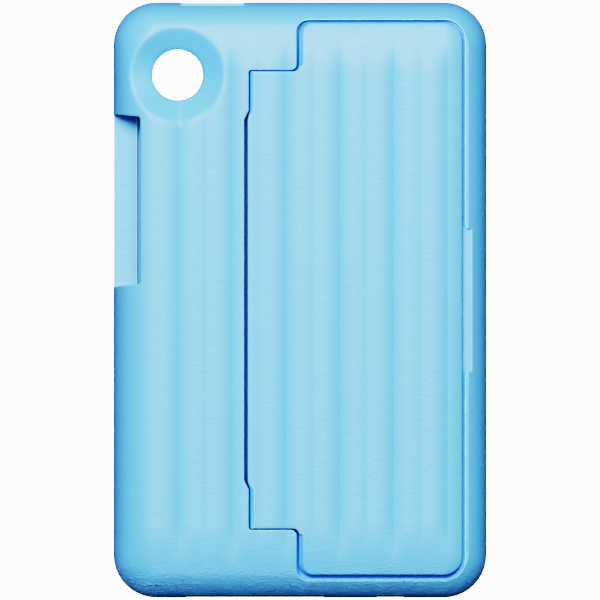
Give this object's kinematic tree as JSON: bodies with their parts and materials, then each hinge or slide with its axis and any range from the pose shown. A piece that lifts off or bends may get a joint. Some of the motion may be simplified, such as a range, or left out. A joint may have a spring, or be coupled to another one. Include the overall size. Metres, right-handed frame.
{
  "type": "tablet case with kickstand",
  "caption": "Soft moulded tablet case with a softly ribbed back, a round camera opening, wall cut-outs and a flush kickstand that swings out on a side hinge.",
  "frame": {"origin": "centre of the front lip's underside, which the case lies on", "axes": "+Z out of the case's back, +Y along its long side towards the camera opening, +X to the right as the back is looked at"},
  "size_m": [0.1432, 0.2284, 0.022],
  "materials": {
    "shell_soft": "soft satin, fine leathery grain",
    "cover_soft": "soft satin, fine leathery grain",
    "plate_hard": "fine satin",
    "liner_felt": "brushed felt",
    "core_hard": "fine satin",
    "bracket_plastic": "moulded, matt",
    "bush_plastic": "smooth acetal",
    "steel": "ground",
    "magnet": "nickel plated"
  },
  "bodies": {
    "shell": {"outer_shell": "shell_soft", "inner_plate": "plate_hard", "back_liner": "liner_felt", "hinge_bracket_top": "bracket_plastic", "hinge_bracket_bottom": "bracket_plastic", "friction_bush_top": "bush_plastic", "friction_bush_bottom": "bush_plastic", "bracket_screw_top_left": "steel", "bracket_screw_top_right": "steel", "bracket_screw_bottom_left": "steel", "bracket_screw_bottom_right": "steel", "shell_magnet_top": "magnet", "shell_magnet_middle": "magnet", "shell_magnet_bottom": "magnet"},
    "kickstand": {"kickstand_cover": "cover_soft", "kickstand_core": "core_hard", "hinge_pin_top": "steel", "hinge_pin_bottom": "steel", "kickstand_magnet_top": "magnet", "kickstand_magnet_middle": "magnet", "kickstand_magnet_bottom": "magnet"}
  },
  "joints": [
    {"name": "kickstand_hinge", "type": "hinge", "parent": "shell", "child": "kickstand", "pos_m": [-0.0163, 0, 0.019], "axis": [0, -1, 0], "range_deg": [0, 95]}
  ]
}
